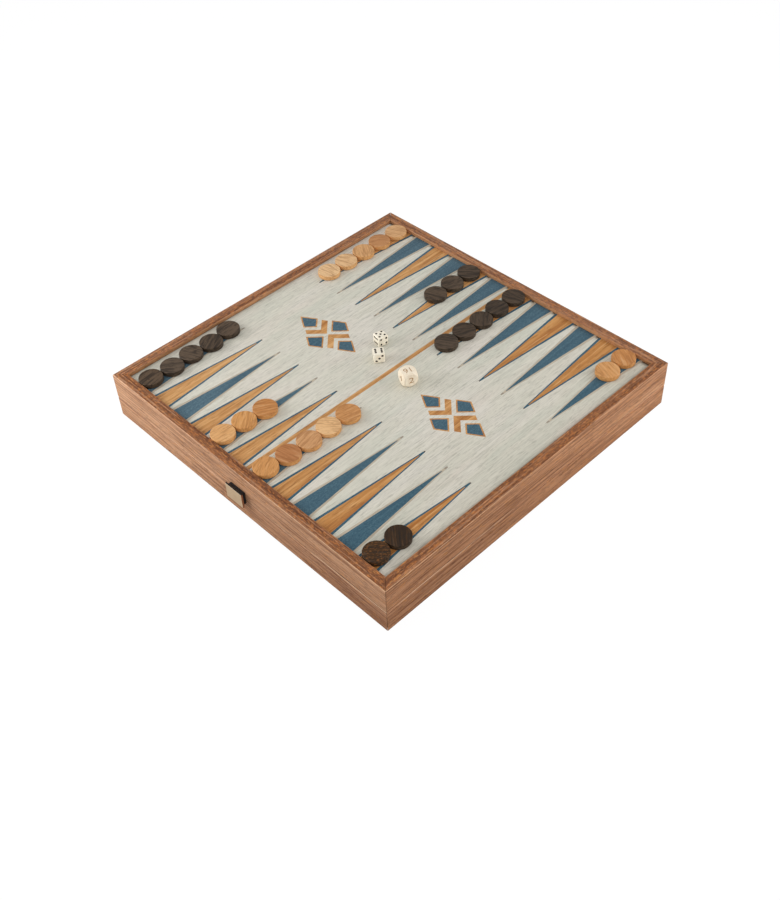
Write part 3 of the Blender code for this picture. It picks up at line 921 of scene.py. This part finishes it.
def build_die(node, numbers, turned_faces, yaw, materials):
    """numbers gives each face's pips. On turned_faces they are turned a quarter."""
    low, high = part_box(node)
    side = high.z - low.z
    pips = bmesh.new()
    for face, matrix in face_frames().items():
        for u, v in PIPS[numbers[face]]:
            if face in turned_faces:
                u, v = -v, u
            place = Vector((u * PIP_SPACING * side, v * PIP_SPACING * side, side / 2 + PIP_LIFT))
            place = matrix @ Matrix.Translation(place)
            bmesh.ops.create_uvsphere(pips, **PIP_SEGMENTS, radius=PIP_SPHERE, matrix=place)
    place_cube(carved(node, rounded_cube(side, DIE_ROUNDING), pips, materials), node, yaw)


def place_cube(mesh, node, yaw):
    """Puts a die's or the doubling cube's mesh in the place of its node, turned by yaw degrees."""
    low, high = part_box(node)
    obj = piece(mesh.name, mesh, node, (), [node])
    obj.location = (low + high) / 2
    obj.rotation_euler.z = math.radians(yaw)


def number_shape(text, height):
    """A number as a closed solid, centred, standing up along Z about z = 0."""
    curve = bpy.data.curves.new(f"number_{text}", "FONT")
    curve.body = text
    curve.align_x = "CENTER"
    curve.align_y = "CENTER"
    curve.size = height
    curve.extrude = ENGRAVING_DEPTH
    curve.resolution_u = 6
    obj = linked(curve.name, curve)
    graph = bpy.context.evaluated_depsgraph_get()
    mesh = bpy.data.meshes.new_from_object(obj.evaluated_get(graph))
    shape = bmesh.new()
    shape.from_mesh(mesh)
    bmesh.ops.remove_doubles(shape, verts=shape.verts[:], dist=TINY)
    bpy.data.objects.remove(obj)
    bpy.data.meshes.remove(mesh)
    bpy.data.curves.remove(curve)
    return shape


def build_doubling_cube(numbers, yaw, materials):
    """numbers gives each face's number and how far it is turned on the face, in degrees."""
    node = "doubling_cube"
    low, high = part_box(node)
    side = high.z - low.z
    cutter = bmesh.new()
    for face, matrix in face_frames().items():
        text, turn = numbers[face]
        shape = number_shape(text, NUMBER_HEIGHT)
        stretch = SINGLE_STRETCH if len(text) == 1 else 1.0
        place = matrix @ Matrix.Translation((0, 0, side / 2))
        place = place @ Matrix.Rotation(math.radians(turn), 4, "Z")
        place = place @ Matrix.Diagonal((stretch, 1, 1, 1))
        bmesh.ops.transform(shape, matrix=place, verts=shape.verts)
        mesh = mesh_of(f"{node}_{text}", shape)
        cutter.from_mesh(mesh)
        bpy.data.meshes.remove(mesh)
    body = ball_cube(side, CUBE_BALL, CUBE_STEPS)
    place_cube(carved(node, body, cutter, materials), node, yaw)


def add_screw_heads(material):
    """Countersunk screws, three to a hinge leaf."""
    for body, side in (("base", "left"), ("base", "right"), ("lid", "left"), ("lid", "right")):
        node = f"hinge_leaf_{body}_{side}"
        low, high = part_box(node)
        middle = (low + high) / 2
        height = low.z + SCREW_FROM_EDGE if body == "base" else high.z - SCREW_FROM_EDGE
        for place in (-1, 0, 1):
            shape = turned_disc(SCREW_RADIUS, SCREW_HEIGHT, SCREW_EDGE, segments=40, arc_steps=3)
            slot_cut = bmesh.new()
            bmesh.ops.create_cube(slot_cut, size=1)
            bmesh.ops.scale(slot_cut, vec=SCREW_SLOT, verts=slot_cut.verts)
            bmesh.ops.translate(slot_cut, vec=(0, 0, SCREW_HEIGHT), verts=slot_cut.verts)
            mesh = carved(f"{node}_screw_{place + 2}", shape, slot_cut, [material])
            obj = piece(mesh.name, mesh, body, ())
            obj.rotation_euler = (math.radians(-90), math.radians(SCREW_TURN * place), 0)
            seat = low.y + LEAF_THICKNESS - SCREW_SUNK
            obj.location = (middle.x + place * SCREW_SPACING, seat, height)


def build_shade_pad(material):
    """The dark pad between the pull tab and the box, with rounded corners and a groove round its edge.
    It stands in for the shade in the gap behind the tab: painted shade.
    """
    low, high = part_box("pull_tab")
    plate_back = low.y + TAB_PLATE
    wall = RAIL_LOW.y - PAD_CLEAR
    middle = (low.z + high.z) / 2
    half_x = (high.x - low.x) / 2 - PAD_MARGIN
    half_z = (high.z - low.z) / 2 - PAD_MARGIN
    depth = wall - plate_back
    rings = []
    for place, shrink in PAD_LAYERS:
        ring = []
        for side_x, side_z, first in ((1, 1, 0), (-1, 1, 90), (-1, -1, 180), (1, -1, 270)):
            for step in range(PAD_ARC_STEPS + 1):
                angle = math.radians(first + 90 * step / PAD_ARC_STEPS)
                corner_x = side_x * (half_x - shrink - PAD_CORNER) + PAD_CORNER * math.cos(angle)
                corner_z = side_z * (half_z - shrink - PAD_CORNER) + PAD_CORNER * math.sin(angle)
                ring.append((corner_x, plate_back + place * depth, middle + corner_z))
        rings.append(ring)
    piece("tab_pad", mesh_of("tab_pad", lofted(rings)), "lid", [material])


def dress(node, material, bevel=BEVEL):
    """A CAD node shown as it is, with a finer material and a small rounding on its hard edges."""
    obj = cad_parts[node]
    obj.data.materials.clear()
    obj.data.materials.append(material)
    rounding = obj.modifiers.new("rounding", "BEVEL")
    rounding.width = bevel
    rounding.segments = 2
    rounding.limit_method = "ANGLE"
    rounding.angle_limit = math.radians(BEVEL_ANGLE)
    rounding.harden_normals = False


# -------- the object

# shares of painted shade on the veneer of the lid and the base, and on a near rail's rim beside the
# board
front_shades = {"lid_shade": 0.19, "base_shade": 0.64, "inner_shade": 0.06}
side_shades = {"lid_shade": 0.23, "base_shade": 0.47, "inner_shade": 0.33}
walnut_x = walnut("walnut_along_x", "X", FRONT_VENEER, -80 * MM, 155 * MM, **front_shades)
walnut_y = walnut("walnut_along_y", "Y", SIDE_VENEER, 80 * MM, -170 * MM, **side_shades)
for part in ("lid", "base"):
    for side in ("front", "back"):
        dress(f"{part}_rail_{side}", walnut_x)
    for side in ("left", "right"):
        dress(f"{part}_rail_{side}", walnut_y)

board_materials = {
    "bleached": bleached_veneer(),
    "blue": blue_veneer(),
    "taupe": taupe_veneer(),
    "oak": oak_veneer(),
    "underside": plain_veneer("lid_lining", srgb(196, 152, 112), srgb(158, 112, 78), "X"),
}
build_board(board_materials)
bottom_lining = plain_veneer("bottom_lining", srgb(186, 140, 102), srgb(148, 102, 70), "X")
dress("bottom_panel", bottom_lining)
divider_colours = (srgb(190, 142, 100), srgb(150, 104, 70))
dress("divider_long", plain_veneer("divider_along_x", *divider_colours, "X"), DIVIDER_BEVEL)
divider_y = plain_veneer("divider_along_y", *divider_colours, "Y")
for side in ("left", "right"):
    dress(f"divider_{side}", divider_y, DIVIDER_BEVEL)

light_wood = checker_wood(
    "checker_light_wood",
    (srgb(233, 193, 144), srgb(219, 158, 89), srgb(188, 138, 100), srgb(180, 117, 66)),
    srgb(226, 166, 100),
    srgb(140, 86, 44),
    0.36,
)
dark_wood = checker_wood(
    "checker_dark_wood",
    (srgb(94, 78, 63), srgb(84, 57, 24), srgb(60, 47, 35), srgb(66, 40, 10)),
    srgb(62, 50, 38),
    srgb(30, 22, 15),
    0.62,
    srgb(132, 82, 38),
)
build_checkers("light", light_wood, LIGHT_LOOKS)
build_checkers("dark", dark_wood, DARK_LOOKS)

die_ivory = ivory("dice_ivory", srgb(240, 230, 208), srgb(248, 241, 224))
pip_paint = paint("pip_brown", srgb(26, 18, 14), srgb(44, 30, 24), 0.5)
five_faces = {"top": 5, "right": 4, "front": 6, "left": 3, "back": 1, "bottom": 2}
six_faces = {"top": 6, "front": 3, "back": 4, "right": 5, "left": 2, "bottom": 1}
build_die("die_five", five_faces, ("front",), DIE_FIVE_YAW, [die_ivory, pip_paint])
build_die("die_six", six_faces, (), DIE_SIX_YAW, [die_ivory, pip_paint])
cube_numbers = {
    "top": ("16", 180), "front": ("2", 0), "left": ("4", 0),
    "right": ("32", 0), "back": ("8", 0), "bottom": ("64", 0),
}
number_paint = paint("number_brown", srgb(176, 138, 98), srgb(196, 160, 120), 0.7)
build_doubling_cube(cube_numbers, CUBE_YAW, [maple(), number_paint])

# painted reflections on the tab: dark on its top edge, wood-brown on its right edge
tab_reflections = {"top_reflection": srgb(20, 22, 26), "side_reflection": srgb(164, 108, 74)}
champagne = (srgb(208, 180, 145), srgb(221, 195, 161))
tab_metal = brushed_metal("tab_champagne", *champagne, "X", 0.42, metallic=0.3, **tab_reflections)
dress("pull_tab", tab_metal, TAB_BEVEL)
# the black pad is painted shade behind the tab
build_shade_pad(painted_shade_black())
brass = brushed_metal("hinge_brass", srgb(196, 152, 84), srgb(214, 176, 108), "X", 0.35)
nickel = brushed_metal("magnet_nickel", srgb(176, 176, 178), srgb(200, 200, 202), "X", 0.28)
steel = brushed_metal("screw_steel", srgb(168, 168, 170), srgb(196, 196, 198), "Z", 0.34)
for side in ("left", "right"):
    for part in ("base", "lid"):
        dress(f"hinge_leaf_{part}_{side}", brass)
        dress(f"magnet_{part}_{side}", nickel)
    dress(f"hinge_pin_{side}", brass, SMALL_BEVEL)
    dress(f"tab_screw_{side}", steel, SMALL_BEVEL)
add_screw_heads(brass)

# -------- floor, light and camera

STAGE_SIZE = 12.0
FLOOR_DROP = 0.2 * MM
FLOOR_GLOW = 0.93
FLOOR_SHADE = 0.10
BOUNCE = 0.35
BACKDROP_GLOW = 1.05
SKY_LOW = 0.25
SKY_HIGH = 0.86
SOFTBOX_SIZE = (0.6, 0.5)
# name, angle round the box from +X, distance, height and power of each softbox
SOFTBOXES = (
    ("softbox_left", 227, 0.85, 0.27, 4.9),
    ("softbox_right", 47, 0.85, 0.27, 3.2),
    ("softbox_front", -43, 1.1, 0.42, 2.4),
)

# the camera looks at the middle of the floor under the box
AZIMUTH = math.radians(47.3488)
ELEVATION = math.radians(43.3808)
ROLL = math.radians(-2.7962)
CAMERA_DISTANCE = 1.23615
LENS = 45.934
SENSOR = 36.0
SHIFT_X = -0.0003
SHIFT_Y = -0.0463


def stage_material(name, glow, shade):
    """A white that shines by glow and answers to light by shade."""
    material = bpy.data.materials.new(name)
    material.use_nodes = True
    nodes = material.node_tree.nodes
    links = material.node_tree.links
    nodes.clear()
    diffuse = nodes.new("ShaderNodeBsdfDiffuse")
    diffuse.inputs["Color"].default_value = (shade, shade, shade, 1)
    emission = nodes.new("ShaderNodeEmission")
    emission.inputs["Strength"].default_value = glow
    both = nodes.new("ShaderNodeAddShader")
    output = nodes.new("ShaderNodeOutputMaterial")
    links.new(diffuse.outputs[0], both.inputs[0])
    links.new(emission.outputs[0], both.inputs[1])
    links.new(both.outputs[0], output.inputs["Surface"])
    return material


def add_stage(name, shape, height, material, seen):
    """A stage surface that is either seen by the camera or only returns light to the object."""
    mesh = mesh_of(name, shape)
    mesh.materials.append(material)
    obj = linked(name, mesh)
    obj.location.z = height
    obj.visible_camera = seen
    for ray in ("diffuse", "glossy", "transmission", "shadow"):
        setattr(obj, f"visible_{ray}", not seen)


def add_floor():
    """The white floor and backdrop that the camera sees, and the dimmer floor that lights the box."""
    white = stage_material("floor_white", FLOOR_GLOW, FLOOR_SHADE)
    grey = stage_material("floor_grey", 0.0, BOUNCE)
    floors = (("floor", FLOOR_DROP, white, True), ("floor_bounce", 2 * FLOOR_DROP, grey, False))
    for name, drop, material, seen in floors:
        flat = bmesh.new()
        bmesh.ops.create_grid(flat, x_segments=1, y_segments=1, size=STAGE_SIZE / 2)
        add_stage(name, flat, -drop, material, seen)
    dome = bmesh.new()
    bmesh.ops.create_icosphere(dome, subdivisions=4, radius=STAGE_SIZE / 2)
    add_stage("backdrop", dome, 0, stage_material("backdrop_white", BACKDROP_GLOW, 0.0), True)


def add_softbox(name, angle, away, height, power):
    """A soft light beside the box, facing it."""
    lamp = bpy.data.lights.new(name, "AREA")
    lamp.shape = "RECTANGLE"
    lamp.size, lamp.size_y = SOFTBOX_SIZE
    lamp.energy = power
    obj = linked(name, lamp)
    turn = math.radians(angle)
    obj.location = (away * math.cos(turn), away * math.sin(turn), height)
    obj.rotation_euler = obj.location.to_track_quat("Z", "Y").to_euler()
    obj.visible_camera = False


def add_world():
    """Soft light from above, weaker towards the horizon."""
    world = bpy.data.worlds.new("studio")
    bpy.context.scene.world = world
    world.use_nodes = True
    nodes = world.node_tree.nodes
    links = world.node_tree.links
    direction = nodes.new("ShaderNodeTexCoord")
    split = nodes.new("ShaderNodeSeparateXYZ")
    strength = nodes.new("ShaderNodeMapRange")
    strength.inputs["To Min"].default_value = SKY_LOW
    strength.inputs["To Max"].default_value = SKY_HIGH
    links.new(direction.outputs["Generated"], split.inputs[0])
    links.new(split.outputs["Z"], strength.inputs["Value"])
    links.new(strength.outputs[0], nodes["Background"].inputs["Strength"])
    nodes["Background"].inputs["Color"].default_value = (1, 1, 1, 1)


def add_camera():
    level = math.cos(ELEVATION)
    back = Vector((math.sin(AZIMUTH) * level, -math.cos(AZIMUTH) * level, math.sin(ELEVATION)))
    right = Vector((math.cos(AZIMUTH), math.sin(AZIMUTH), 0))
    up = back.cross(right)
    camera_x = right * math.cos(ROLL) + up * math.sin(ROLL)
    camera_y = up * math.cos(ROLL) - right * math.sin(ROLL)
    data = bpy.data.cameras.new("camera")
    data.sensor_width = SENSOR
    data.lens = LENS
    data.shift_x = SHIFT_X
    data.shift_y = SHIFT_Y
    data.clip_start = 0.01
    obj = linked("camera", data)
    turn = Matrix((camera_x, camera_y, back)).transposed().to_4x4()
    obj.matrix_world = Matrix.Translation(back * CAMERA_DISTANCE) @ turn
    bpy.context.scene.camera = obj


add_floor()
for softbox in SOFTBOXES:
    add_softbox(*softbox)
add_world()
add_camera()
bpy.context.scene.view_settings.view_transform = "Standard"
bpy.context.scene.view_settings.look = "None"

bpy.context.view_layer.update()
